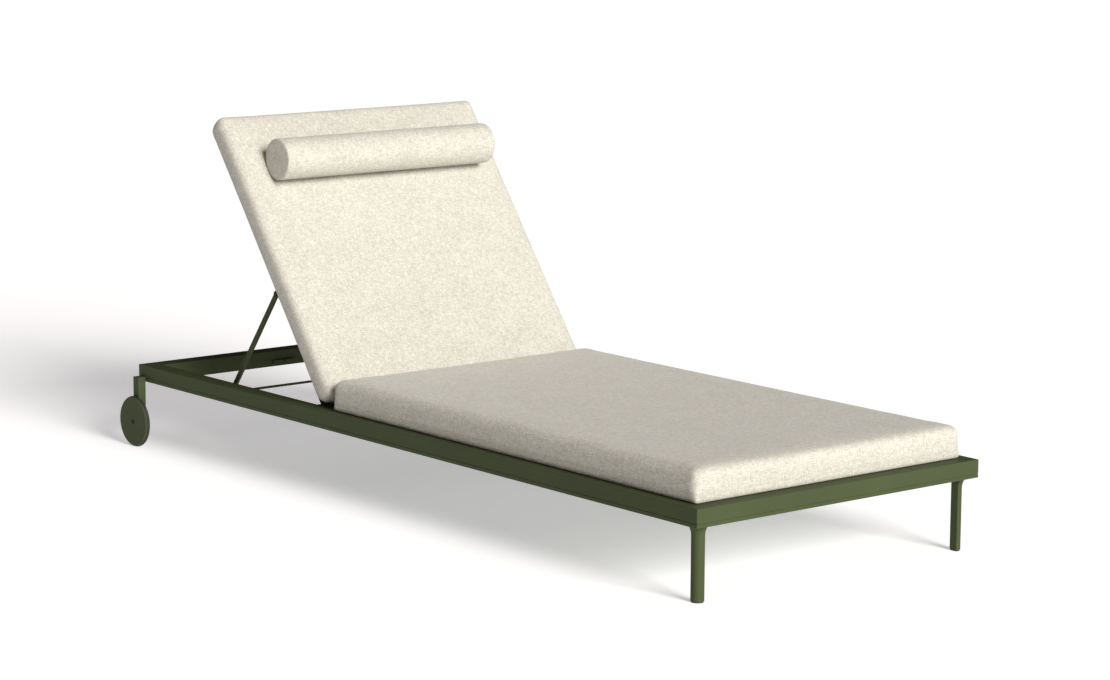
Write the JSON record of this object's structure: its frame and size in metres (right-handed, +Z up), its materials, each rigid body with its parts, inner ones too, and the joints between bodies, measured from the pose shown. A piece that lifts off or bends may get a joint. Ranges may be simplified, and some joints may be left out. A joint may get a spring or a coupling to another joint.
{
  "type": "reclining sun lounger",
  "caption": "Low sun lounger: a slim tube frame on legs and wheels, a reclining propped back, loose seat and back cushions and a round head bolster.",
  "frame": {"origin": "on the floor, under the middle of the whole lounger's box", "axes": "+X towards the foot end, +Y to the left of somebody lying on it, +Z up"},
  "size_m": [2.1224, 0.865, 0.8382],
  "materials": {
    "frame_paint": "fine-textured olive green powder coat",
    "cushion_cloth": "pale cream slubbed plain weave",
    "bolster_cloth": "pale cream slubbed plain weave",
    "tyre_rubber": "matte",
    "black_plastic": "matte",
    "bare_steel": "zinc plated",
    "dark_steel": "blackened",
    "cast_alloy": "as cast"
  },
  "bodies": {
    "base": {"side_rail_right": "frame_paint", "side_rail_left": "frame_paint", "foot_rail": "frame_paint", "head_rail": "frame_paint", "corner_keys": "cast_alloy", "front_leg_right": "frame_paint", "front_leg_left": "frame_paint", "leg_bolts": "bare_steel", "foot_glides": "black_plastic", "wheel_post_right": "frame_paint", "wheel_post_left": "frame_paint", "post_screws": "bare_steel", "axle_bolts": "dark_steel", "axle_spacers": "black_plastic", "hinge_cross_rail": "frame_paint", "seat_ledge_right": "frame_paint", "seat_ledge_left": "frame_paint", "seat_slat_1": "frame_paint", "seat_slat_2": "frame_paint", "seat_slat_3": "frame_paint", "seat_slat_4": "frame_paint", "seat_slat_5": "frame_paint", "seat_slat_6": "frame_paint", "seat_slat_7": "frame_paint", "slat_screws": "bare_steel", "hinge_bracket_right": "frame_paint", "hinge_bracket_left": "frame_paint", "hinge_pins": "bare_steel", "prop_rack_right": "frame_paint", "prop_rack_left": "frame_paint", "frame_screws": "bare_steel", "stop_pads": "frame_paint", "seat_cushion": "cushion_cloth"},
    "backrest": {"back_stile_right": "frame_paint", "back_stile_left": "frame_paint", "back_head_tube": "frame_paint", "back_foot_tube": "frame_paint", "back_slat_1": "frame_paint", "back_slat_2": "frame_paint", "back_slat_3": "frame_paint", "back_slat_4": "frame_paint", "hinge_lug_right": "frame_paint", "hinge_lug_left": "frame_paint", "hinge_bushes": "black_plastic", "prop_lug_right": "frame_paint", "prop_lug_left": "frame_paint", "prop_pins": "dark_steel", "back_cushion": "cushion_cloth"},
    "prop": {"prop_arm_right": "frame_paint", "prop_arm_left": "frame_paint", "prop_rod": "frame_paint"},
    "bolster": {"head_bolster": "bolster_cloth"},
    "wheel_right": {"wheel_disc_right": "frame_paint", "wheel_tyre_right": "tyre_rubber", "wheel_bush_right": "black_plastic"},
    "wheel_left": {"wheel_disc_left": "frame_paint", "wheel_tyre_left": "tyre_rubber", "wheel_bush_left": "black_plastic"}
  },
  "joints": [
    {"name": "backrest_recline", "type": "hinge", "parent": "base", "child": "backrest", "pos_m": [-0.30575, 0, 0.17], "axis": [0, 1, 0], "range_deg": [-53.2, 5.5]},
    {"name": "prop_swing", "type": "hinge", "parent": "backrest", "child": "prop", "pos_m": [-0.50223, 0, 0.43264], "axis": [0, 1, 0], "range_deg": [-11.5, 107]},
    {"name": "bolster_slide", "type": "slide", "parent": "backrest", "child": "bolster", "axis": [-0.599, 0, 0.8007], "range_m": [-0.12, 0.1]},
    {"name": "wheel_right_spin", "type": "hinge", "parent": "base", "child": "wheel_right", "pos_m": [-0.99875, -0.4269, 0.0625], "axis": [0, 1, 0], "continuous": true},
    {"name": "wheel_left_spin", "type": "hinge", "parent": "base", "child": "wheel_left", "pos_m": [-0.99875, 0.4269, 0.0625], "axis": [0, 1, 0], "continuous": true}
  ],
  "couplings": [
    {"joint": "prop_swing", "follows": "backrest_recline", "ratio": -2}
  ]
}
